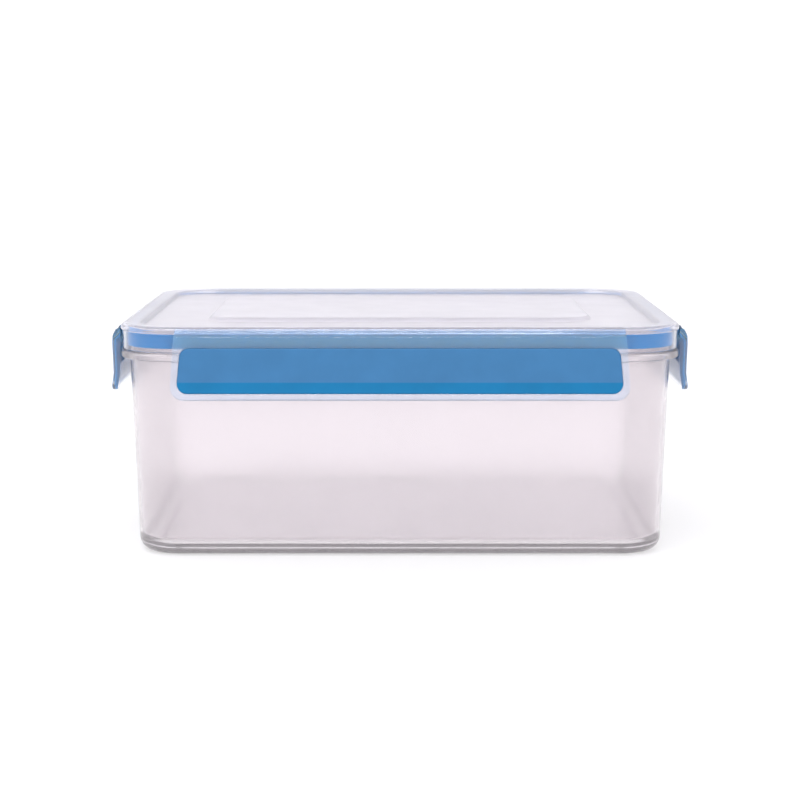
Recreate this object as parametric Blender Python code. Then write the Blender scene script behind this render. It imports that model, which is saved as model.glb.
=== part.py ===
"""Snap lid food container: a clear tub, a clear lid with a blue seal, and a latch flap on each side.

Metres, +Z up. The container stands on z = 0 with its middle at the origin and its front facing -Y.
Plans are concentric rounded rectangles. An inset is how far one lies inside the lid's outer edge.
"""

import math

import bmesh
import bpy
from mathutils import Matrix, Vector

MM = 0.001

# Outer edge of the lid's bead and of the tub's flange, seen from above
PLAN_HALF = Vector((126.7, 95.7)) * MM
PLAN_CORNER = 26.3 * MM
CORNER_STEPS = 9

# Gap kept between neighbouring pieces
GAP = 0.3 * MM

# Tub: heights
FOOT_RISE = 3.2 * MM
FLOOR_TOP = 5.0 * MM
FLANGE_BOTTOM = 89.3 * MM
FLANGE_TOP = 92.7 * MM
LIP_TOP = 98.4 * MM
# Tub: walls
WALL_INSET_TOP = 4.0 * MM
WALL_DRAFT = 0.034
LIP_THICKNESS = 1.6 * MM
WALL_THICKNESS = 1.8 * MM
FOOT_RADIUS = 6.0 * MM
FOOT_WIDTH = 3.6 * MM
FLANGE_EDGE = 0.4 * MM

# Lid
LID_TOP = 104.8 * MM
LID_THICKNESS = 1.5 * MM
LID_EDGE_RADIUS = 2.0 * MM
BEAD_BOTTOM = 102.2 * MM
SKIRT_BOTTOM = 93.3 * MM
SKIRT_INSET = 0.6 * MM
SKIRT_THICKNESS = 1.4 * MM
CHANNEL_WALL_BOTTOM = 95.9 * MM
CHANNEL_WALL_INSET = 7.5 * MM
RECESS_TOP = 102.8 * MM
RIM_WIDTH = 9.2 * MM
# Raised stacking panel in the middle of the lid
PANEL_TOP = 104.6 * MM
PANEL_HALF = Vector((88.0, 52.5)) * MM
PANEL_CORNER = 14.0 * MM
PANEL_SLOPE = 1.2 * MM

# Seal: a U turned upside down over the tub's lip
SEAL_INSET = 3.0 * MM
SEAL_TOP = 102.3 * MM
SEAL_OUTER_BOTTOM = 94.9 * MM
SEAL_INNER_BOTTOM = 96.2 * MM
SEAL_WEB_BOTTOM = 98.7 * MM
SEAL_CHAMFER = 0.7 * MM

# Film hinges: each web leaves the lid's rounded edge as a tangent, 45 degrees outward and down
DIAGONAL = math.sqrt(0.5)
WEB_LENGTH = 1.2 * MM
WEB_THICKNESS = 0.5 * MM
WEB_REACH = 2.4 * MM
# The hinge line, which is the web's middle: outward from the lid's edge, and above the ground
HINGE_OUT = DIAGONAL * (LID_EDGE_RADIUS + WEB_REACH - WEB_THICKNESS / 2) - LID_EDGE_RADIUS
HINGE_HEIGHT = LID_TOP - LID_EDGE_RADIUS + DIAGONAL * (LID_EDGE_RADIUS - WEB_REACH - WEB_THICKNESS / 2)

# Latch flaps
FLAP_END_MARGIN = 0.7 * MM
FLAP_FLARE = 1.8 * MM
FLAP_BOTTOM = 72.8 * MM
FLAP_TOP = 102.2 * MM
FLAP_CORNER = 6.0 * MM
FLAP_TOP_CORNER = 0.6 * MM
# A flap's section in millimetres, (outward, height): the sloping shoulder below the film hinge,
FLAP_SHOULDER = [(1.75, 101.88), (3.1, 100.4), (4.1, 99.1)]
# the face that the grip pad lies in, with a crease above the flared lower edge,
FLAP_FACE = [(4.35, 98.1), (4.4, 94.7), (4.0, 84.7), (3.9, 80.7), (4.35, 77.6), (5.1, 74.6)]
# and round the lower edge and back up the inner face
FLAP_BACK = [(5.05, 73.4), (4.4, 72.8), (3.3, 72.8), (2.6, 73.5), (1.6, 76.5), (0.95, 80.1), (0.75, 84.7),
             (0.5, 93.7), (0.5, 100.1), (1.18, 101.32)]
# The hook rib that catches under the tub's flange
HOOK = [(1.6, 89.0), (-1.4, 89.0), (-1.4, 88.3), (0.8, 85.5), (1.6, 85.5)]
HOOK_END_MARGIN = 6.4 * MM

# Soft grip pads, let into the flaps
PAD_TOP = 96.1 * MM
PAD_BOTTOM = 75.8 * MM
PAD_BORDER = 2.8 * MM
PAD_CORNER = 4.5 * MM
PAD_DEPTH = 1.5 * MM
ARC_STEPS = 6

CLEAR_TUB = ((0.80, 0.78, 0.82), 0.22)
CLEAR_LID = ((0.80, 0.81, 0.86), 0.16)
CLEAR_LATCH = ((0.72, 0.78, 0.87), 0.20)
BLUE_SEAL = ((0.15, 0.37, 0.62), 0.45)
BLUE_PAD = ((0.07, 0.24, 0.48), 0.50)


def clear_scene():
    for item in list(bpy.data.objects):
        bpy.data.objects.remove(item, do_unlink=True)


def material(name, look):
    colour, roughness = look
    made = bpy.data.materials.new(name)
    made.use_nodes = True
    shader = made.node_tree.nodes["Principled BSDF"]
    shader.inputs["Base Color"].default_value = (*colour, 1.0)
    shader.inputs["Roughness"].default_value = roughness
    shader.inputs["Metallic"].default_value = 0.0
    return made


def add_object(name, mesh, collection, look):
    item = bpy.data.objects.new(name, mesh)
    item.data.materials.append(look)
    collection.objects.link(item)
    return item


def arc(centre, radius, start, end, steps):
    """Points along a circular arc, both ends included, with angles in degrees."""
    angles = [math.radians(start + (end - start) * i / steps) for i in range(steps + 1)]
    return [(centre[0] + radius * math.cos(a), centre[1] + radius * math.sin(a)) for a in angles]


def rounded_rectangle(half, corner, height):
    """One level loop of a rounded rectangle, anticlockwise from above."""
    loop = []
    for quarter in range(4):
        side_x = 1 if quarter in (0, 3) else -1
        side_y = 1 if quarter in (0, 1) else -1
        centre = (side_x * (half.x - corner), side_y * (half.y - corner))
        turn = arc(centre, corner, 90 * quarter, 90 * quarter + 90, CORNER_STEPS)
        loop += [Vector((x, y, height)) for x, y in turn]
    return loop


def plan_loop(inset, height):
    """The lid's outer edge, drawn in by the inset and set at a height."""
    return rounded_rectangle(PLAN_HALF - Vector((inset, inset)), PLAN_CORNER - inset, height)


def panel_loop(spread, height):
    """The stacking panel's edge, drawn out by the spread and set at a height."""
    return rounded_rectangle(PANEL_HALF + Vector((spread, spread)), PANEL_CORNER + spread, height)


def draw_ring(mesh, edges, old, new):
    """Extrude a ring of edges from the old loop's places to the new loop's, and return its edges."""
    drawn = bmesh.ops.extrude_edge_only(mesh, edges=edges)["geom"]
    places = {start.copy().freeze(): end for start, end in zip(old, new)}
    for vert in (part for part in drawn if isinstance(part, bmesh.types.BMVert)):
        vert.co = places[vert.co.copy().freeze()]
    return [part for part in drawn if isinstance(part, bmesh.types.BMEdge)]


def swept_mesh(name, loops, closed=False):
    """Draw a surface from loop to loop. A closed one returns to its first loop, any other is capped."""
    mesh = bmesh.new()
    corners = [mesh.verts.new(place) for place in loops[0]]
    edges = [mesh.edges.new((corners[i - 1], corners[i])) for i in range(len(corners))]
    if not closed:
        mesh.faces.new(corners)
    for old, new in zip(loops, loops[1:]):
        edges = draw_ring(mesh, edges, old, new)
    if closed:
        draw_ring(mesh, edges, loops[-1], loops[0])
        bmesh.ops.remove_doubles(mesh, verts=mesh.verts, dist=0.001 * MM)
    else:
        bmesh.ops.contextual_create(mesh, geom=edges)
    bmesh.ops.recalc_face_normals(mesh, faces=mesh.faces)
    made = bpy.data.meshes.new(name)
    mesh.to_mesh(made)
    mesh.free()
    return made


def wall_inset(height):
    """How far inside the lid's edge the tub's outer wall lies at a height."""
    return WALL_INSET_TOP + (FLANGE_BOTTOM - height) * WALL_DRAFT


def tub_section():
    """The tub's section from the middle of the underside, over the lip, to the middle of the floor."""
    foot_inset = wall_inset(FOOT_RADIUS) + FOOT_RADIUS
    foot_inner = foot_inset + FOOT_WIDTH
    inner_radius = FOOT_RADIUS - WALL_THICKNESS
    inner_top = WALL_INSET_TOP + LIP_THICKNESS
    curve_out = arc((foot_inset, FOOT_RADIUS), FOOT_RADIUS, 270, 180, 4)
    curve_in = arc((foot_inset, FLOOR_TOP + inner_radius), inner_radius, 180, 270, 4)
    return [
        (foot_inner + FOOT_RISE / 3, FOOT_RISE),
        (foot_inner, 0.0),
        *curve_out,
        (WALL_INSET_TOP, FLANGE_BOTTOM),
        (FLANGE_EDGE, FLANGE_BOTTOM),
        (0.0, FLANGE_BOTTOM + FLANGE_EDGE),
        (0.0, FLANGE_TOP - FLANGE_EDGE),
        (FLANGE_EDGE, FLANGE_TOP),
        (WALL_INSET_TOP, FLANGE_TOP),
        (WALL_INSET_TOP, LIP_TOP - FLANGE_EDGE),
        (WALL_INSET_TOP + FLANGE_EDGE, LIP_TOP),
        (inner_top - FLANGE_EDGE, LIP_TOP),
        (inner_top, LIP_TOP - FLANGE_EDGE),
        (inner_top, FLANGE_TOP),
        (wall_inset(FLANGE_BOTTOM) + WALL_THICKNESS + FLANGE_EDGE, FLANGE_BOTTOM - FLANGE_EDGE),
        *curve_in,
    ]


def tub_mesh():
    return swept_mesh("container_body", [plan_loop(*point) for point in tub_section()])


def lid_mesh():
    """The lid, from the underside of its stacking panel out to the skirt and back over the top."""
    under = RECESS_TOP - LID_THICKNESS
    wall_inner = CHANNEL_WALL_INSET + LID_THICKNESS
    roof = LID_TOP - LID_THICKNESS
    edge_centre = (LID_EDGE_RADIUS, LID_TOP - LID_EDGE_RADIUS)
    outline = [
        (wall_inner, under),
        (wall_inner, CHANNEL_WALL_BOTTOM),
        (CHANNEL_WALL_INSET, CHANNEL_WALL_BOTTOM),
        (CHANNEL_WALL_INSET, roof),
        (SKIRT_INSET + SKIRT_THICKNESS, roof),
        (SKIRT_INSET + SKIRT_THICKNESS, SKIRT_BOTTOM),
        (SKIRT_INSET, SKIRT_BOTTOM),
        (SKIRT_INSET, BEAD_BOTTOM - FLANGE_EDGE),
        (0.0, BEAD_BOTTOM),
        *arc(edge_centre, LID_EDGE_RADIUS, 180, 90, 4),
        (RIM_WIDTH - FLANGE_EDGE, LID_TOP),
        (RIM_WIDTH, LID_TOP - FLANGE_EDGE),
        (RIM_WIDTH + FLANGE_EDGE, RECESS_TOP),
    ]
    loops = [
        panel_loop(-LID_THICKNESS, PANEL_TOP - LID_THICKNESS),
        panel_loop(PANEL_SLOPE - LID_THICKNESS, under),
        *[plan_loop(*point) for point in outline],
        panel_loop(PANEL_SLOPE, RECESS_TOP),
        panel_loop(0.0, PANEL_TOP),
    ]
    return swept_mesh("lid", loops)


def seal_mesh():
    """The seal, whose two legs hang either side of the tub's lip."""
    outer = SEAL_INSET
    lip_outer = WALL_INSET_TOP - GAP
    lip_inner = WALL_INSET_TOP + LIP_THICKNESS + GAP
    inner = CHANNEL_WALL_INSET - GAP
    section = [
        (outer, SEAL_OUTER_BOTTOM),
        (outer, SEAL_TOP - SEAL_CHAMFER),
        (outer + SEAL_CHAMFER, SEAL_TOP),
        (inner, SEAL_TOP),
        (inner, SEAL_INNER_BOTTOM),
        (lip_inner, SEAL_INNER_BOTTOM),
        (lip_inner, SEAL_WEB_BOTTOM),
        (lip_outer, SEAL_WEB_BOTTOM),
        (lip_outer, SEAL_OUTER_BOTTOM),
    ]
    return swept_mesh("lid_seal", [plan_loop(*point) for point in section], closed=True)


def prism(name, outline, half_depth, turn):
    """A flat outline thickened both ways and turned into place, as a welded mesh object."""
    curve = bpy.data.curves.new(name, "CURVE")
    curve.dimensions = "2D"
    curve.fill_mode = "BOTH"
    curve.extrude = half_depth
    spline = curve.splines.new("POLY")
    spline.points.add(len(outline) - 1)
    for point, (x, y) in zip(spline.points, outline):
        point.co = (x, y, 0.0, 1.0)
    spline.use_cyclic_u = True
    outline_object = bpy.data.objects.new(name, curve)
    bpy.context.scene.collection.objects.link(outline_object)
    bpy.context.view_layer.update()
    mesh = bpy.data.meshes.new_from_object(outline_object.evaluated_get(bpy.context.evaluated_depsgraph_get()))
    bpy.data.objects.remove(outline_object)
    bpy.data.curves.remove(curve)
    mesh.transform(turn)
    weld(mesh)
    made = bpy.data.objects.new(name, mesh)
    bpy.context.scene.collection.objects.link(made)
    return made


def weld(mesh):
    """Join a prism's loose caps to its sides and turn its faces outward."""
    work = bmesh.new()
    work.from_mesh(mesh)
    bmesh.ops.remove_doubles(work, verts=work.verts, dist=0.001 * MM)
    bmesh.ops.recalc_face_normals(work, faces=work.faces)
    work.to_mesh(mesh)
    work.free()


def combine(target, tool, operation):
    """Apply a Boolean to the target and remove the tool."""
    modifier = target.modifiers.new(operation.lower(), "BOOLEAN")
    modifier.operation = operation
    modifier.solver = "EXACT"
    modifier.object = tool
    bpy.context.view_layer.update()
    result = bpy.data.meshes.new_from_object(target.evaluated_get(bpy.context.evaluated_depsgraph_get()))
    target.modifiers.clear()
    target.data = result
    bpy.data.objects.remove(tool)


# A latch is modelled facing -Y with its hinge line at the origin, then placed on each side.
SECTION_TURN = Matrix(((0, 0, 1, 0), (-1, 0, 0, 0), (0, 1, 0, 0), (0, 0, 0, 1))) @ Matrix.Diagonal((1, 1, -1, 1))
FACE_TURN = Matrix.Rotation(math.radians(90), 4, "X")


def from_hinge(points):
    """Section points in millimetres, (outward, height), measured again from the hinge line."""
    return [(x * MM - HINGE_OUT, z * MM - HINGE_HEIGHT) for x, z in points]


def section_prism(name, points, half_length):
    return prism(name, from_hinge(points), half_length, SECTION_TURN)


def face_outline(half_top, half_bottom, top, bottom, corner_top, corner_bottom):
    """A flap's or pad's outline seen from outside: wider at the bottom, with round corners."""
    corners = [
        ((half_top - corner_top, top - corner_top), corner_top, 0),
        ((corner_top - half_top, top - corner_top), corner_top, 90),
        ((corner_bottom - half_bottom, bottom + corner_bottom), corner_bottom, 180),
        ((half_bottom - corner_bottom, bottom + corner_bottom), corner_bottom, 270),
    ]
    outline = []
    for centre, radius, start in corners:
        outline += arc(centre, radius, start, start + 90, ARC_STEPS)
    return [(x, z - HINGE_HEIGHT) for x, z in outline]


def pad_outline(half_top, grow):
    """The pad's outline, or its pocket's when grown by the gap."""
    share_top = (FLAP_TOP - PAD_TOP) / (FLAP_TOP - FLAP_BOTTOM)
    share_bottom = (FLAP_TOP - PAD_BOTTOM) / (FLAP_TOP - FLAP_BOTTOM)
    return face_outline(
        half_top + FLAP_FLARE * share_top - PAD_BORDER + grow,
        half_top + FLAP_FLARE * share_bottom - PAD_BORDER + grow,
        PAD_TOP + grow,
        PAD_BOTTOM - grow,
        PAD_CORNER + grow,
        PAD_CORNER + grow,
    )


def face_band(above, depth):
    """A band that follows the flap's outer face, from a distance above it to a depth below."""
    outer = [(x + above / MM, z) for x, z in FLAP_FACE]
    inner = [(x - depth / MM, z) for x, z in reversed(FLAP_FACE)]
    return outer + inner


def flap_mesh(half_top):
    """One latch flap: its curved section cut to outline, with the hook rib and the pad's pocket."""
    half_bottom = half_top + FLAP_FLARE
    reach = half_bottom + 5 * MM
    outline = face_outline(half_top, half_bottom, FLAP_TOP, FLAP_BOTTOM, FLAP_TOP_CORNER, FLAP_CORNER)
    flap = section_prism("flap", FLAP_SHOULDER + FLAP_FACE + FLAP_BACK, reach)
    combine(flap, prism("outline", outline, 10 * MM, FACE_TURN), "INTERSECT")
    combine(flap, section_prism("hook", HOOK, half_top - HOOK_END_MARGIN), "UNION")
    pocket = section_prism("pocket", face_band(1 * MM, PAD_DEPTH + GAP), reach)
    combine(pocket, prism("outline", pad_outline(half_top, GAP), 10 * MM, FACE_TURN), "INTERSECT")
    combine(flap, pocket, "DIFFERENCE")
    return take_mesh(flap)


def pad_mesh(half_top):
    """One soft grip pad, flush with the outer face of its flap."""
    pad = section_prism("pad", face_band(0.0, PAD_DEPTH), half_top + 5 * MM)
    combine(pad, prism("outline", pad_outline(half_top, 0.0), 10 * MM, FACE_TURN), "INTERSECT")
    return take_mesh(pad)


def web_mesh(half_top):
    """The film hinge: a thin sloping web between the lid's edge and the flap's root."""
    work = bmesh.new()
    bmesh.ops.create_cube(work, size=1.0)
    size = Vector((2 * (half_top - FLAP_TOP_CORNER), WEB_LENGTH, WEB_THICKNESS))
    bmesh.ops.scale(work, vec=size, verts=work.verts)
    bmesh.ops.rotate(work, matrix=Matrix.Rotation(math.radians(45), 3, "X"), verts=work.verts)
    mesh = bpy.data.meshes.new("film_hinge")
    work.to_mesh(mesh)
    work.free()
    return mesh


def take_mesh(item):
    """Keep an object's mesh and remove the object."""
    mesh = item.data
    bpy.data.objects.remove(item)
    return mesh


def latch_sides():
    """Each side's name, where its hinge line's middle is, its turn, and half its hinge length."""
    reach = PLAN_HALF + Vector((HINGE_OUT, HINGE_OUT))
    straight = PLAN_HALF - Vector((PLAN_CORNER, PLAN_CORNER)) - Vector((FLAP_END_MARGIN, FLAP_END_MARGIN))
    return [
        ("front", (0.0, -reach.y, HINGE_HEIGHT), 0, straight.x),
        ("back", (0.0, reach.y, HINGE_HEIGHT), 180, straight.x),
        ("left", (-reach.x, 0.0, HINGE_HEIGHT), -90, straight.y),
        ("right", (reach.x, 0.0, HINGE_HEIGHT), 90, straight.y),
    ]


def add_latches(collection):
    clear = material("clear_latch", CLEAR_LATCH)
    blue = material("blue_grip", BLUE_PAD)
    for side, hinge, turn, half_top in latch_sides():
        pieces = [
            ("latch_flap", flap_mesh(half_top), clear),
            ("grip_pad", pad_mesh(half_top), blue),
            ("film_hinge", web_mesh(half_top), clear),
        ]
        for piece, mesh, look in pieces:
            item = add_object(f"{side}_{piece}", mesh, collection, look)
            item.location = hinge
            item.rotation_euler.z = math.radians(turn)


def main():
    clear_scene()
    collection = bpy.data.collections.new("snap_lid_food_container")
    bpy.context.scene.collection.children.link(collection)
    add_object("container_body", tub_mesh(), collection, material("clear_tub", CLEAR_TUB))
    add_object("lid", lid_mesh(), collection, material("clear_lid", CLEAR_LID))
    add_object("lid_seal", seal_mesh(), collection, material("blue_seal", BLUE_SEAL))
    add_latches(collection)


main()
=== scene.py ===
import math
from bisect import bisect_right

import bmesh
import bpy
from mathutils import Matrix, Vector


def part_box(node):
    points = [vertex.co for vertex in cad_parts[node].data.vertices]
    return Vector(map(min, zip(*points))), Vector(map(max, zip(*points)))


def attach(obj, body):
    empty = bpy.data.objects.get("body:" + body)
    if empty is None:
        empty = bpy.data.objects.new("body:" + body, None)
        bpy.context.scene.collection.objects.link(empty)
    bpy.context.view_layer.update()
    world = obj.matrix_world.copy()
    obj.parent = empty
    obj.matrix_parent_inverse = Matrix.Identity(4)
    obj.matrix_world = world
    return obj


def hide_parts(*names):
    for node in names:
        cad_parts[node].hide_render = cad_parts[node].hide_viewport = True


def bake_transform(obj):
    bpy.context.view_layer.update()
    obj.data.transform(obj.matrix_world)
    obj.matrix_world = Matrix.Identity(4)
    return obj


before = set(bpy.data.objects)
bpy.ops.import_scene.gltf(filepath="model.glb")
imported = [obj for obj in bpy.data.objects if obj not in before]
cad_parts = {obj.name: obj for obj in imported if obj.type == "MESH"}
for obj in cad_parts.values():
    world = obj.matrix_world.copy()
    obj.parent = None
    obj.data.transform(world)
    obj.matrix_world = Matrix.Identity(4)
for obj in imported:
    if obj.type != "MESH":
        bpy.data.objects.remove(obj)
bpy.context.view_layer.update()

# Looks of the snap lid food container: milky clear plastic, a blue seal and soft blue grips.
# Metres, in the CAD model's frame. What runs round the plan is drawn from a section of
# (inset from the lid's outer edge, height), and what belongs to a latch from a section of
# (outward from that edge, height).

MM = 0.001

# Sizes from the frame
LID_LOW, LID_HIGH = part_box("lid")
PAD_LOW, PAD_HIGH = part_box("front_grip_pad")
LIP_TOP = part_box("container_body")[1].z
SEAL_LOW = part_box("lid_seal")[0].z
FLAP_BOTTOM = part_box("front_latch_flap")[0].z

# Plan: the lid's outer edge
PLAN_HALF = Vector((LID_HIGH.x, LID_HIGH.y))
PLAN_CORNER = 26.3 * MM

# How finely curves are drawn, and how much the large faces count in the shading
PLAN_CORNER_STEPS = 24
FLAP_CORNER_STEPS = 8
FILLET_STEPS = 5
EDGE_STEPS = 4
PAD_EDGE_STEPS = 6
FACE_LOOPS = 16
SIDE_LEVELS = 30
LARGE_FACE_WEIGHT = 80

# Tub
WALL_INSET = 4.0 * MM
WALL_DRAFT = 0.034
WALL_THICKNESS = 1.8 * MM
LIP_THICKNESS = 1.6 * MM
FLANGE_BOTTOM = 89.3 * MM
FLANGE_TOP = 92.7 * MM
FLOOR_TOP = 5.0 * MM
FLOOR_BAND = 9.0 * MM
FOOT_RISE = 3.2 * MM
FOOT_RADIUS = 6.0 * MM
FOOT_WIDTH = 3.6 * MM
FOOT_SLOPE = 1.0 * MM
UNDERSIDE_BAND = 4.0 * MM

# Lid
LID_THICKNESS = 1.5 * MM
LID_EDGE_RADIUS = 2.0 * MM
BEAD_BOTTOM = 101.8 * MM
BEAD_LEDGE_RISE = 0.1 * MM
SKIRT_INSET = 0.6 * MM
SKIRT_THICKNESS = 1.4 * MM
CHANNEL_WALL_INSET = 7.5 * MM
CHANNEL_WALL_BOTTOM = 95.9 * MM
RIM_WIDTH = 9.2 * MM
RIM_SLOPE = 0.9 * MM
RECESS_TOP = 102.8 * MM
PANEL_HALF = Vector((88.0, 52.5)) * MM
PANEL_CORNER = 14.0 * MM
PANEL_TOP = 104.6 * MM
PANEL_SLOPE = 1.8 * MM
FLAT_BAND = 5.0 * MM

# Where each of the lid's looks lies: frost on the rim's top and on all that lies inward of it, from
# an overlap outside the rim's inner edge, the rim's look on its rounded bead, and clear elsewhere
LID_LOOKS = ("lid", "frost", "rim")
CLEAR, FROST, BEAD = range(3)
FROST_OVERLAP = 1.2 * MM
RIM_TOP_FIT = 0.01 * MM
BEAD_EDGE_FIT = 0.05 * MM

# Seal
SEAL_GAP = 0.2 * MM
SEAL_INSET = 3.0 * MM
SEAL_BOTTOM = 94.9 * MM
SEAL_TOP = 101.4 * MM
SEAL_WEB_BOTTOM = 98.7 * MM
SEAL_CHAMFER = 0.5 * MM
SEAL_INNER_RISE = 0.5 * MM

# Latch flaps: sections in millimetres, as corners of (outward, height, fillet radius)
FLAP_OUTER = [
    (1.4, 101.88, 0.0), (1.85, 101.4, 0.3), (2.8, 101.0, 0.6), (3.95, 98.8, 1.5), (4.3, 97.6, 1.5),
    (4.4, 94.7, 20.0), (4.0, 84.7, 60.0), (3.9, 80.9, 1.0), (4.35, 77.6, 8.0), (5.0, 74.7, 5.0),
    (5.1, 72.8, 0.0),
]
FLAP_INNER = [
    (1.1, 101.88, 0.0), (0.5, 100.5, 1.0), (0.5, 93.7, 40.0), (0.75, 84.7, 40.0),
    (0.95, 80.1, 5.0), (1.6, 76.5, 5.0), (2.75, 72.8, 0.0),
]
HOOK = [
    (1.2, 89.0, 0.0), (-1.4, 89.0, 0.25), (-1.4, 88.3, 0.3), (0.8, 85.5, 0.3), (1.2, 85.5, 0.0),
]
HOOK_END_MARGIN = 6.4 * MM
FLAP_TOP = FLAP_OUTER[0][1] * MM
FLAP_END_GAP = 0.7 * MM
FLAP_TOP_CORNER = 0.6 * MM
FLAP_CORNER = 6.0 * MM
FLAP_FLARE = 1.8 * MM
FLAP_EDGE = 0.6 * MM
FLAP_INNER_EDGE = 0.15 * MM
FLAP_LEAST_THICKNESS = 0.2 * MM
LEAST_CORNER = 0.05 * MM

# Grip pads, and the pockets that they are bonded to
POCKET_BORDER = 2.8 * MM
POCKET_CORNER = 4.5 * MM
POCKET_DEPTH = 1.8 * MM
POCKET_EDGE = 0.3 * MM
PAD_BOND = 0.05 * MM
PAD_EDGE = 0.7 * MM
# The pad's bonded back and sides carry painted light: a lighter blue for light reaching them
# through the clear flap
PAD_LOOKS = ("grip", "bond_painted_light")
BONDED_PAINTED_LIGHT = 1

# Film hinges: the section in millimetres, as (down the 45 degree slope, off it)
WEB_TOP = [
    (0.0, -0.05), (0.4, -0.07), (0.7, -0.16), (0.95, -0.28), (1.2, -0.36), (1.4, -0.34),
    (1.6, -0.23), (1.8, -0.1), (1.95, -0.03), (2.1, 0.0), (2.25, -0.015), (2.5, -0.065),
    (2.75, -0.12), (2.9, -0.16), (3.05, -0.22), (3.2, -0.28), (3.5, -0.38), (3.8, -0.44),
]
WEB_BOTTOM = [
    (3.8, -0.8), (3.2, -0.75), (3.0, -0.62), (2.7, -0.52), (2.4, -0.5), (2.1, -0.52),
    (1.8, -0.62), (1.5, -0.75), (0.0, -0.8),
]
WEB_END_GAP = 0.2 * MM

# Plastic: noise as (waves per metre, detail). Above the root band the flaps carry painted light: a
# blue standing for the seal seen through them.
PLASTIC_IOR = 1.49
PLASTIC_BLOTCHES = (60.0, 3.0)
PLASTIC_WAVES = (35.0, 1.0)
PLASTIC_GRAIN = (1800.0, 1.0)
PLASTIC_GRAIN_HEIGHT = 0.0004 * MM
ROOT_BAND = 96.0 * MM
ROOT_BLEND = 2.0 * MM
# Painted light: the seal's blue, as seen through the flap's clear root, painted into the plastic
# above the root band
ROOT_PAINTED_SEAL_LIGHT = (0.50, 0.83, 1.0)

# Rubber: noise as (waves per metre, detail). Below their crease the grips have painted shade: a
# deeper blue for the lower band's weaker sheen.
RUBBER_SPECULAR = 0.25
RUBBER_CLOUDS = (90.0, 4.0)
RUBBER_CLOUD_VALUES = (0.94, 1.06)
RUBBER_BLOTCHES = (400.0, 3.0)
RUBBER_GRAIN = (3500.0, 3.0)
RUBBER_GRAIN_HEIGHT = 0.02 * MM
GRIP_CREASE = 80.8 * MM
CREASE_BLEND = 0.6 * MM
SEAL_BLUE = (0.0, 0.305, 0.755)
GRIP_BLUE = (0.040, 0.162, 0.340)
# Painted shade: a deeper blue where the grip's lower band catches less sheen
GRIP_PAINTED_SHADE_BLUE = (0.0, 0.148, 0.332)
# Painted light: a lighter blue on the pad's bonded back and sides, seen through the flap
BOND_PAINTED_LIGHT_BLUE = (0.06, 0.42, 0.90)

# Studio: strengths as light on the object, and as the camera sees them, where both clip to white
SKY_COLOUR = (0.97, 0.955, 1.0)
SKY_LIGHT = 1.3
SKY_SEEN = 1.5
FLOOR_HALF = 6.0
FLOOR_DROP = 0.2 * MM
FLOOR_GREY = 0.4
FLOOR_ROUGHNESS = 0.6
FLOOR_GLOW = 0.6
FLOOR_GLOW_SEEN = 0.5
KEY_PLACE = Vector((-0.27, -0.59, 1.23))
KEY_TARGET = Vector((-0.1, 0.0, 0.1))
KEY_SIZE = (1.04, 0.15)
KEY_POWER = 7.2
CAMERA_PLACE = (0.0, -0.932, 0.1987)
CAMERA_DEGREES_DOWN = 8.58
CAMERA_LENS = 85.86
CAMERA_SENSOR = 36.0


# ---------------------------------------------------------------- sections and skins

def rounded(corners, closed=True):
    """An outline through (x, y, radius) corners, each turned into an arc of its radius."""
    outline = []
    count = len(corners)
    for i, (x, y, radius) in enumerate(corners):
        here = Vector((x, y))
        if radius == 0.0 or (not closed and i in (0, count - 1)):
            outline.append(here)
            continue
        before = (Vector(corners[i - 1][:2]) - here).normalized()
        after = (Vector(corners[(i + 1) % count][:2]) - here).normalized()
        half = before.angle(after) / 2
        reach = radius / math.tan(half)
        centre = here + (before + after).normalized() * (radius / math.sin(half))
        start = here + before * reach - centre
        end = here + after * reach - centre
        for step in range(FILLET_STEPS + 1):
            spoke = start.lerp(end, step / FILLET_STEPS).normalized() * radius
            outline.append(centre + spoke)
    return outline


def rounded_rectangle(half, corner, height):
    """One level loop of a rounded rectangle, anticlockwise from above."""
    loop = []
    for quarter in range(4):
        side_x = 1 if quarter in (0, 3) else -1
        side_y = 1 if quarter in (0, 1) else -1
        centre = Vector((side_x * (half.x - corner), side_y * (half.y - corner)))
        for step in range(PLAN_CORNER_STEPS + 1):
            angle = math.radians(90) * (quarter + step / PLAN_CORNER_STEPS)
            point = centre + corner * Vector((math.cos(angle), math.sin(angle)))
            loop.append(Vector((point.x, point.y, height)))
    return loop


def plan_loop(inset, height):
    """The lid's outer edge, drawn in by the inset and set at a height."""
    return rounded_rectangle(PLAN_HALF - Vector((inset, inset)), PLAN_CORNER - inset, height)


def panel_loop(inset, height):
    """The lid's middle panel, drawn in by the inset and set at a height."""
    return rounded_rectangle(PANEL_HALF - Vector((inset, inset)), PANEL_CORNER - inset, height)


def skin(name, loops, ends="caps"):
    """A closed mesh from loop to loop. Its ends are caps, rows of quads for a mirrored loop, or
    joined to each other."""
    mesh = bmesh.new()
    rings = [[mesh.verts.new(point) for point in loop] for loop in loops]
    pairs = list(zip(rings, rings[1:]))
    if ends == "joined":
        pairs.append((rings[-1], rings[0]))
    for old, new in pairs:
        for i in range(len(old)):
            mesh.faces.new((old[i - 1], old[i], new[i], new[i - 1]))
    if ends == "caps":
        mesh.faces.new(rings[0])
        mesh.faces.new(rings[-1])
    if ends == "rows":
        for ring in (rings[0], rings[-1]):
            fill_rows(mesh, ring)
    bmesh.ops.recalc_face_normals(mesh, faces=mesh.faces)
    made = bpy.data.meshes.new(name)
    mesh.to_mesh(made)
    mesh.free()
    return made


def fill_rows(mesh, ring):
    """Fill a ring whose second half mirrors its first, with a quad between each pair of rows."""
    last = len(ring) - 1
    for i in range(len(ring) // 2 - 1):
        mesh.faces.new((ring[i], ring[i + 1], ring[last - i - 1], ring[last - i]))


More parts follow.
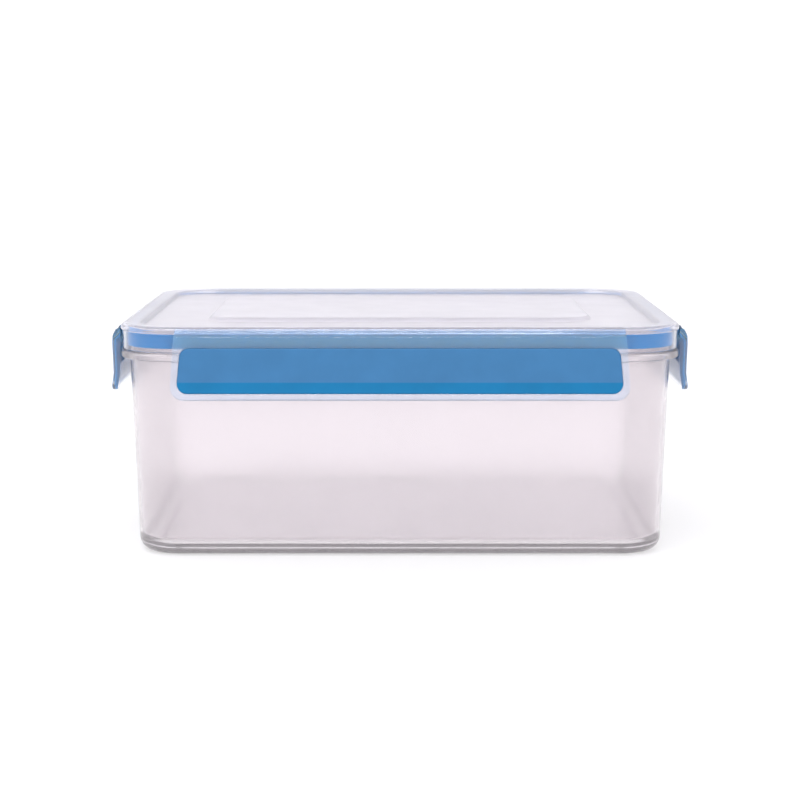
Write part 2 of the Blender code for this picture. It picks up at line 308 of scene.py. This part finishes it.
def united(name, first, second):
    """The union of two closed meshes."""
    pair = [bpy.data.objects.new(name, mesh) for mesh in (first, second)]
    for part in pair:
        bpy.context.scene.collection.objects.link(part)
    union = pair[0].modifiers.new("union", "BOOLEAN")
    union.operation = "UNION"
    union.solver = "EXACT"
    union.object = pair[1]
    evaluated = pair[0].evaluated_get(bpy.context.evaluated_depsgraph_get())
    made = bpy.data.meshes.new_from_object(evaluated)
    for part in pair:
        bpy.data.objects.remove(part)
    for mesh in (first, second):
        bpy.data.meshes.remove(mesh)
    return made


def add_piece(name, mesh, looks, matrix):
    """A smooth-shaded object whose flat faces keep their own normals, with its looks in order."""
    piece = bpy.data.objects.new(name, mesh)
    piece.matrix_world = matrix
    bpy.context.scene.collection.objects.link(piece)
    for look in looks:
        mesh.materials.append(look)
    mesh.shade_smooth()
    normals = piece.modifiers.new("normals", "WEIGHTED_NORMAL")
    normals.mode = "FACE_AREA"
    normals.weight = LARGE_FACE_WEIGHT
    return piece


# ---------------------------------------------------------------- materials

def new_material(name):
    made = bpy.data.materials.new(name)
    made.use_nodes = True
    nodes, links = made.node_tree.nodes, made.node_tree.links
    return made, nodes, links, nodes["Principled BSDF"]


def add_noise(nodes, links, scale, detail):
    """A noise texture fixed to the piece, with its scale in waves per metre."""
    place = nodes.new("ShaderNodeTexCoord")
    noise = nodes.new("ShaderNodeTexNoise")
    noise.inputs["Scale"].default_value = scale
    noise.inputs["Detail"].default_value = detail
    links.new(place.outputs["Object"], noise.inputs["Vector"])
    return noise.outputs["Fac"]


def spread(nodes, links, source, low, high, middle=0.5, width=0.5):
    """The source's values around its middle, mapped to run from low to high."""
    mapped = nodes.new("ShaderNodeMapRange")
    mapped.inputs["From Min"].default_value = middle - width / 2
    mapped.inputs["From Max"].default_value = middle + width / 2
    mapped.inputs["To Min"].default_value = low
    mapped.inputs["To Max"].default_value = high
    links.new(source, mapped.inputs["Value"])
    return mapped.outputs["Result"]


def add_bump(nodes, links, source, height, normal=None):
    """A normal bumped by the source, up to a height, on top of another normal if one is given."""
    bump = nodes.new("ShaderNodeBump")
    bump.inputs["Strength"].default_value = 1.0
    bump.inputs["Distance"].default_value = height
    links.new(source, bump.inputs["Height"])
    if normal:
        links.new(normal, bump.inputs["Normal"])
    return bump.outputs["Normal"]


def banded(nodes, links, upper, lower, height, width):
    """One colour above a height on the piece and another below it, blended over a width."""
    place = nodes.new("ShaderNodeTexCoord")
    parts = nodes.new("ShaderNodeSeparateXYZ")
    links.new(place.outputs["Object"], parts.inputs["Vector"])
    blend = nodes.new("ShaderNodeMix")
    blend.data_type = "RGBA"
    blend.inputs["A"].default_value = (*lower, 1.0)
    blend.inputs["B"].default_value = (*upper, 1.0)
    share = spread(nodes, links, parts.outputs["Z"], 0.0, 1.0, height, width)
    links.new(share, blend.inputs["Factor"])
    return blend.outputs["Result"]


def clear_plastic(name, tint, roughness, milk, wave, root=None):
    """Milky polypropylene: light passes with a tint and a haze, over slow moulding waves and
    fine grain. A root is painted light: a blue above the root band for the seal seen through."""
    made, nodes, links, shader = new_material(name)
    if root:
        colour = banded(nodes, links, root, tint, ROOT_BAND, ROOT_BLEND)
        links.new(colour, shader.inputs["Base Color"])
    else:
        shader.inputs["Base Color"].default_value = (*tint, 1.0)
    shader.inputs["IOR"].default_value = PLASTIC_IOR
    shader.inputs["Transmission Weight"].default_value = 1.0 - milk
    blotches = add_noise(nodes, links, *PLASTIC_BLOTCHES)
    links.new(spread(nodes, links, blotches, *roughness), shader.inputs["Roughness"])
    waves = add_bump(nodes, links, add_noise(nodes, links, *PLASTIC_WAVES), wave)
    fine = add_noise(nodes, links, *PLASTIC_GRAIN)
    grain = add_bump(nodes, links, fine, PLASTIC_GRAIN_HEIGHT, waves)
    links.new(grain, shader.inputs["Normal"])
    return made


def soft_rubber(name, blue, roughness, painted_shade_blue=None, crease=0.0):
    """Soft moulded rubber with a fine matt grain, and a deeper blue of painted shade below the
    crease if given.
    """
    made, nodes, links, shader = new_material(name)
    cloud = nodes.new("ShaderNodeHueSaturation")
    clouds = add_noise(nodes, links, *RUBBER_CLOUDS)
    links.new(spread(nodes, links, clouds, *RUBBER_CLOUD_VALUES), cloud.inputs["Value"])
    colour = banded(nodes, links, blue, painted_shade_blue or blue, crease, CREASE_BLEND)
    links.new(colour, cloud.inputs["Color"])
    links.new(cloud.outputs["Color"], shader.inputs["Base Color"])
    shader.inputs["Specular IOR Level"].default_value = RUBBER_SPECULAR
    blotches = add_noise(nodes, links, *RUBBER_BLOTCHES)
    links.new(spread(nodes, links, blotches, *roughness), shader.inputs["Roughness"])
    fine = add_noise(nodes, links, *RUBBER_GRAIN)
    links.new(add_bump(nodes, links, fine, RUBBER_GRAIN_HEIGHT), shader.inputs["Normal"])
    return made


def make_looks():
    """Every material. A tint is a colour of light passed, and milk the share that scatters."""
    return {
        # Partly painted light: the tub's tint is the plastic's own plus a pink cast standing for
        # warm light from food inside
        "tub": clear_plastic("milky_tub", tint=(0.95, 0.91, 0.93), roughness=(0.12, 0.20),
                             milk=0.12, wave=0.004 * MM),
        "lid": clear_plastic("milky_lid", tint=(0.95, 0.94, 0.98), roughness=(0.07, 0.13),
                             milk=0.01, wave=0.002 * MM),
        "frost": clear_plastic("frosted_lid", tint=(0.89, 0.875, 0.92), roughness=(0.285, 0.335),
                               milk=0.25, wave=0.001 * MM),
        "web": clear_plastic("tinted_web", tint=(0.52, 0.73, 0.97), roughness=(0.05, 0.09),
                             milk=0.08, wave=0.0005 * MM),
        # The latch's blue above the root band is painted light of the seal behind it
        "latch": clear_plastic("clear_latch", tint=(0.82, 0.88, 0.97), roughness=(0.05, 0.10),
                               milk=0.12, wave=0.001 * MM, root=ROOT_PAINTED_SEAL_LIGHT),
        "rim": clear_plastic("milky_rim", tint=(0.88, 0.87, 0.94), roughness=(0.06, 0.12),
                             milk=0.20, wave=0.0005 * MM),
        "seal": soft_rubber("blue_seal", SEAL_BLUE, (0.35, 0.45)),
        # Below the crease the grip gets painted shade
        "grip": soft_rubber("blue_grip", GRIP_BLUE, (0.42, 0.55), GRIP_PAINTED_SHADE_BLUE, GRIP_CREASE),
        "bond_painted_light": soft_rubber("blue_bond_painted_light", BOND_PAINTED_LIGHT_BLUE, (0.42, 0.55)),
    }


# ---------------------------------------------------------------- tub, lid and seal
# Their sections are corners of (inset, height, fillet radius).

def wall_inset(height):
    """How far inside the lid's edge the tub's outer wall lies at a height."""
    return WALL_INSET + (FLANGE_BOTTOM - height) * WALL_DRAFT


def tub_mesh():
    """The tub, from its underside, out round the foot, over the flange and lip, and down inside."""
    foot_inner = wall_inset(FOOT_RADIUS) + FOOT_RADIUS + FOOT_WIDTH
    inside_top = WALL_INSET + LIP_THICKNESS
    inside_bottom = wall_inset(FLOOR_TOP) + WALL_THICKNESS
    section = rounded([
        (foot_inner + UNDERSIDE_BAND, FOOT_RISE, 0.0),
        (foot_inner + FOOT_SLOPE, FOOT_RISE, 0.8 * MM),
        (foot_inner, 0.0, 0.7 * MM),
        (wall_inset(0.0), 0.0, FOOT_RADIUS),
        (WALL_INSET, FLANGE_BOTTOM, 0.6 * MM),
        (0.0, FLANGE_BOTTOM, 0.7 * MM),
        (0.0, FLANGE_TOP, 1.2 * MM),
        (WALL_INSET, FLANGE_TOP, 0.4 * MM),
        (WALL_INSET, LIP_TOP, 0.5 * MM),
        (inside_top, LIP_TOP, 0.5 * MM),
        (inside_top, FLANGE_TOP, 3.0 * MM),
        (wall_inset(FLANGE_BOTTOM) + WALL_THICKNESS, FLANGE_BOTTOM, 3.0 * MM),
        (inside_bottom, FLOOR_TOP, FOOT_RADIUS - WALL_THICKNESS),
        (inside_bottom + FLOOR_BAND, FLOOR_TOP, 0.0),
    ], closed=False)
    return skin("container_body", [plan_loop(*point) for point in section])


def lid_mesh():
    """The lid, from under its middle panel, out to the skirt, and back over the top."""
    under = RECESS_TOP - LID_THICKNESS
    panel_under = PANEL_TOP - LID_THICKNESS
    wall_inner = CHANNEL_WALL_INSET + LID_THICKNESS
    skirt_inner = SKIRT_INSET + SKIRT_THICKNESS
    roof = LID_HIGH.z - LID_THICKNESS
    panel_below = rounded([
        (FLAT_BAND, panel_under, 0.0),
        (LID_THICKNESS, panel_under, 1.2 * MM),
        (LID_THICKNESS - PANEL_SLOPE, under, 1.2 * MM),
        (-FLAT_BAND, under, 0.0),
    ], closed=False)
    edge = rounded([
        (wall_inner + FLAT_BAND, under, 0.0),
        (wall_inner, under, 0.6 * MM),
        (wall_inner, CHANNEL_WALL_BOTTOM, 0.6 * MM),
        (CHANNEL_WALL_INSET, CHANNEL_WALL_BOTTOM, 0.6 * MM),
        (CHANNEL_WALL_INSET, roof, 0.3 * MM),
        (skirt_inner, roof, 0.4 * MM),
        (skirt_inner, LID_LOW.z, 0.5 * MM),
        (SKIRT_INSET, LID_LOW.z, 0.5 * MM),
        (SKIRT_INSET, BEAD_BOTTOM, 0.35 * MM),
        (0.0, BEAD_BOTTOM + BEAD_LEDGE_RISE, 0.25 * MM),
        (0.0, LID_HIGH.z, LID_EDGE_RADIUS),
        (RIM_WIDTH, LID_HIGH.z, 1.0 * MM),
        (RIM_WIDTH + RIM_SLOPE, RECESS_TOP, 0.8 * MM),
        (RIM_WIDTH + FLAT_BAND, RECESS_TOP, 0.0),
    ], closed=False)
    panel_above = rounded([
        (-FLAT_BAND, RECESS_TOP, 0.0),
        (-PANEL_SLOPE, RECESS_TOP, 1.5 * MM),
        (0.0, PANEL_TOP, 1.5 * MM),
        (FLAT_BAND, PANEL_TOP, 0.0),
    ], closed=False)
    loops = [panel_loop(*point) for point in panel_below]
    loops += [plan_loop(*point) for point in edge]
    loops += [panel_loop(*point) for point in panel_above]
    mesh = skin("lid", loops)
    bands = [FROST] * len(loops)
    for i, (inset, height) in enumerate(edge, start=len(panel_below)):
        on_top = height > LID_HIGH.z - RIM_TOP_FIT and inset > LID_EDGE_RADIUS - BEAD_EDGE_FIT
        if inset < RIM_WIDTH - FROST_OVERLAP and not on_top:
            bands[i] = BEAD if height > BEAD_BOTTOM and inset < skirt_inner else CLEAR
    for face in mesh.polygons:
        face.material_index = bands[min(face.index // len(loops[0]), len(bands) - 1)]
    return mesh


def seal_mesh():
    """The seal, a U turned upside down over the tub's lip."""
    outer = SEAL_INSET
    inner = CHANNEL_WALL_INSET - SEAL_GAP
    inner_bottom = SEAL_LOW + SEAL_INNER_RISE
    lip_outer = WALL_INSET - SEAL_GAP
    lip_inner = WALL_INSET + LIP_THICKNESS + SEAL_GAP
    section = rounded([
        (outer, SEAL_BOTTOM, 0.35 * MM),
        (outer, SEAL_TOP - SEAL_CHAMFER, 0.4 * MM),
        (outer + SEAL_CHAMFER, SEAL_TOP, 0.4 * MM),
        (inner, SEAL_TOP, 0.5 * MM),
        (inner, inner_bottom, 0.35 * MM),
        (lip_inner, inner_bottom, 0.35 * MM),
        (lip_inner, SEAL_WEB_BOTTOM, 0.3 * MM),
        (lip_outer, SEAL_WEB_BOTTOM, 0.3 * MM),
        (lip_outer, SEAL_BOTTOM, 0.35 * MM),
    ])
    return skin("lid_seal", [plan_loop(*point) for point in section], ends="joined")


# ---------------------------------------------------------------- latches
# They are modelled facing -Y, with y = 0 at the lid's edge, and then turned to their side.

def mixed(first, second, share):
    """The numbers a share of the way from the first row to the second."""
    return tuple(a + (b - a) * share for a, b in zip(first, second))


def profile(corners):
    """A function of height for how far outward a face lies, from its section's corners."""
    outline = rounded(corners, closed=False)
    heights = [point.y for point in reversed(outline)]
    outs = [point.x for point in reversed(outline)]
    slopes = [
        (outs[i + 1] - outs[i]) / (heights[i + 1] - heights[i]) for i in range(len(outs) - 1)
    ]

    def out_at(height):
        level = min(max(height / MM, heights[0]), heights[-1])
        i = min(bisect_right(heights, level), len(slopes)) - 1
        return (outs[i] + slopes[i] * (level - heights[i])) * MM

    return out_at


OUTER_FACE = profile(FLAP_OUTER)
INNER_FACE = profile(FLAP_INNER)


def lowered(face, drop):
    """A face moved inward by a drop."""
    return lambda height: face(height) - drop


def outer_face(drop):
    """The flap's outer face moved inward by a drop, but kept off its inner face at the root."""
    return lambda height: max(
        OUTER_FACE(height) - drop, INNER_FACE(height) + FLAP_LEAST_THICKNESS
    )


def side_loop(shape, inset, out_at):
    """A flap-shaped loop that lies on a face: down its right side, and up its left. Its shape is
    (half width at the top, at the bottom, top, bottom, corner radius at the top, at the bottom)."""
    half_top, half_bottom, top, bottom, corner_top, corner_bottom = shape
    radius_top = max(corner_top - inset, LEAST_CORNER)
    radius_bottom = max(corner_bottom - inset, LEAST_CORNER)
    arcs = []
    for x, z, radius, start in (
        (half_top - inset - radius_top, top - inset - radius_top, radius_top, 90),
        (half_bottom - inset - radius_bottom, bottom + inset + radius_bottom, radius_bottom, 0),
    ):
        angles = [
            math.radians(start - 90 * step / FLAP_CORNER_STEPS)
            for step in range(FLAP_CORNER_STEPS + 1)
        ]
        arcs.append([(x + radius * math.cos(a), z + radius * math.sin(a)) for a in angles])
    upper, lower = arcs
    side = [mixed(upper[-1], lower[0], i / SIDE_LEVELS) for i in range(1, SIDE_LEVELS)]
    right = upper + side + lower
    left = [(-x, z) for x, z in reversed(right)]
    return [Vector((x, -out_at(z), z)) for x, z in right + left]


def edge_arc(radius, steps=EDGE_STEPS):
    """(inset, drop) pairs that round an edge off, from the face inward of it out to its side."""
    angles = [math.radians(90 * i / steps) for i in range(steps + 1)]
    return [(radius * (1 - math.sin(a)), radius * (1 - math.cos(a))) for a in angles]


def flap_shape(half_top):
    half_bottom = half_top + FLAP_FLARE
    return half_top, half_bottom, FLAP_TOP, FLAP_BOTTOM, FLAP_TOP_CORNER, FLAP_CORNER


def pocket_shape(half_top, grow=0.0):
    """The grip pad's outline, a border inside the flap's sides, grown all round."""
    top, bottom = PAD_HIGH.z, PAD_LOW.z
    halves = [
        half_top + FLAP_FLARE * (FLAP_TOP - z) / (FLAP_TOP - FLAP_BOTTOM) - POCKET_BORDER + grow
        for z in (top, bottom)
    ]
    return *halves, top + grow, bottom - grow, POCKET_CORNER + grow, POCKET_CORNER + grow


def flap_mesh(half_top):
    """A clear flap: inner face, round edges, outer face, and the pocket for its grip pad."""
    shape = flap_shape(half_top)
    pocket = pocket_shape(half_top)
    loops = [
        side_loop(shape, inset, lowered(INNER_FACE, -drop))
        for inset, drop in edge_arc(FLAP_INNER_EDGE)
    ]
    for inset, drop in reversed(edge_arc(FLAP_EDGE)):
        loops.append(side_loop(shape, inset, outer_face(drop)))
    for step in range(1, FACE_LOOPS):
        share = step / FACE_LOOPS
        inset = FLAP_EDGE * (1 - share) - POCKET_EDGE * share
        loops.append(side_loop(mixed(shape, pocket, share), inset, outer_face(0.0)))
    for inset, drop in edge_arc(POCKET_EDGE):
        loops.append(side_loop(pocket, -inset, lowered(OUTER_FACE, drop)))
    loops.append(side_loop(pocket, 0.0, lowered(OUTER_FACE, POCKET_DEPTH)))
    return united("latch_flap", skin("plate", loops, ends="rows"), hook_mesh(half_top))


def bar_mesh(name, section, reach):
    """A bar along the hinge line, from a section of (outward, height)."""
    loops = [[Vector((side * reach, -p.x, p.y)) for p in section] for side in (-1, 1)]
    return skin(name, loops)


def hook_mesh(half_top):
    """The rib that catches under the tub's flange."""
    section = rounded([(x * MM, z * MM, r * MM) for x, z, r in HOOK])
    return bar_mesh("hook", section, half_top - HOOK_END_MARGIN)


def web_mesh(half_top):
    """The film hinge: a thin arch between two grooves, at 45 degrees off the lid's rounded edge."""
    slope = math.sqrt(0.5)
    setback = LID_EDGE_RADIUS * (slope - 1)
    foot = Vector((setback, LID_HIGH.z + setback))
    along = Vector((slope, -slope))
    normal = Vector((slope, slope))
    section = [foot + along * (s * MM) + normal * (t * MM) for s, t in WEB_TOP + WEB_BOTTOM]
    return bar_mesh("film_hinge", section, half_top - WEB_END_GAP)


def pad_mesh(half_top):
    """A soft grip pad with a rounded edge. It bites into its pocket by the bonded layer's
    thickness. Its bonded back and sides carry painted light, a lighter blue.
    """
    shape = pocket_shape(half_top, PAD_BOND)
    loops = [side_loop(shape, 0.0, lowered(OUTER_FACE, POCKET_DEPTH + PAD_BOND))]
    for inset, drop in reversed(edge_arc(PAD_EDGE, PAD_EDGE_STEPS)):
        loops.append(side_loop(shape, inset, lowered(OUTER_FACE, drop)))
    mesh = skin("grip_pad", loops, ends="rows")
    # Painted light: the back and sides, seen only through the flap, take the lighter blue
    for face in mesh.polygons:
        if -face.center.y < OUTER_FACE(face.center.z) - POCKET_DEPTH / 2:
            face.material_index = BONDED_PAINTED_LIGHT
    return mesh


def add_latch(side, edge, turn, half_top, looks):
    """One side's flap and pad ride on its latch; its film hinge sits fixed between lid and latch.
    """
    matrix = Matrix.Rotation(math.radians(turn), 4, "Z") @ Matrix.Translation((0.0, -edge, 0.0))
    flap = add_piece(f"{side}_flap", flap_mesh(half_top), [looks["latch"]], matrix)
    pad_looks = [looks[look] for look in PAD_LOOKS]
    pad = add_piece(f"{side}_grip", pad_mesh(half_top), pad_looks, matrix)
    for piece, node, slot in ((flap, "latch_flap", "clear_latch"), (pad, "grip_pad", "blue_grip")):
        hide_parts(f"{side}_{node}")
        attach(piece, f"{side}_latch")
    web = add_piece(f"{side}_web", web_mesh(half_top), [looks["web"]], matrix)
    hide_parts(f"{side}_film_hinge")
    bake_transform(web)


# ---------------------------------------------------------------- the object

def add_object():
    looks = make_looks()
    for name, node, mesh, piece_looks, slot, body in (
        ("tub", "container_body", tub_mesh(), ("tub",), "clear_tub", "container"),
        ("clear_lid", "lid", lid_mesh(), LID_LOOKS, "clear_lid", "lid"),
        ("seal", "lid_seal", seal_mesh(), ("seal",), "blue_seal", "lid"),
    ):
        piece = add_piece(name, mesh, [looks[look] for look in piece_looks], Matrix.Identity(4))
        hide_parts(node)
        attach(piece, body)
    straight_x, straight_y = (half - PLAN_CORNER - FLAP_END_GAP for half in PLAN_HALF)
    add_latch("front", PLAN_HALF.y, 0, straight_x, looks)
    add_latch("back", PLAN_HALF.y, 180, straight_x, looks)
    add_latch("left", PLAN_HALF.x, -90, straight_y, looks)
    add_latch("right", PLAN_HALF.x, 90, straight_y, looks)


# ---------------------------------------------------------------- studio

def two_strengths(nodes, links, light, seen):
    """A strength that is one value as light on the object, and another as the camera sees it."""
    path = nodes.new("ShaderNodeLightPath")
    return spread(nodes, links, path.outputs["Is Camera Ray"], light, seen, 0.5, 1.0)


def add_floor():
    mesh = bpy.data.meshes.new("floor")
    work = bmesh.new()
    bmesh.ops.create_grid(work, x_segments=1, y_segments=1, size=FLOOR_HALF)
    work.to_mesh(mesh)
    work.free()
    floor = bpy.data.objects.new("floor", mesh)
    floor.location.z = -FLOOR_DROP
    bpy.context.scene.collection.objects.link(floor)
    made, nodes, links, shader = new_material("white_floor")
    shader.inputs["Base Color"].default_value = (FLOOR_GREY, FLOOR_GREY, FLOOR_GREY, 1.0)
    shader.inputs["Roughness"].default_value = FLOOR_ROUGHNESS
    shader.inputs["Emission Color"].default_value = (1.0, 1.0, 1.0, 1.0)
    glow = two_strengths(nodes, links, FLOOR_GLOW, FLOOR_GLOW_SEEN)
    links.new(glow, shader.inputs["Emission Strength"])
    mesh.materials.append(made)


def add_world():
    """White all round as the camera sees it, and a softer white as the light on the object."""
    world = bpy.data.worlds.new("studio")
    bpy.context.scene.world = world
    world.use_nodes = True
    nodes, links = world.node_tree.nodes, world.node_tree.links
    background = nodes["Background"]
    background.inputs["Color"].default_value = (*SKY_COLOUR, 1.0)
    links.new(two_strengths(nodes, links, SKY_LIGHT, SKY_SEEN), background.inputs["Strength"])


def add_key_light():
    data = bpy.data.lights.new("key", "AREA")
    data.shape = "RECTANGLE"
    data.size, data.size_y = KEY_SIZE
    data.energy = KEY_POWER
    light = bpy.data.objects.new("key", data)
    light.location = KEY_PLACE
    light.rotation_euler = (KEY_TARGET - KEY_PLACE).to_track_quat("-Z", "Y").to_euler()
    bpy.context.scene.collection.objects.link(light)


def add_camera():
    data = bpy.data.cameras.new("camera")
    data.sensor_width = CAMERA_SENSOR
    data.lens = CAMERA_LENS
    camera = bpy.data.objects.new("camera", data)
    camera.location = CAMERA_PLACE
    camera.rotation_euler = (math.radians(90.0 - CAMERA_DEGREES_DOWN), 0.0, 0.0)
    bpy.context.scene.collection.objects.link(camera)
    bpy.context.scene.camera = camera


def add_studio():
    bpy.context.scene.view_settings.view_transform = "Standard"
    add_floor()
    add_world()
    add_key_light()
    add_camera()


add_object()
add_studio()
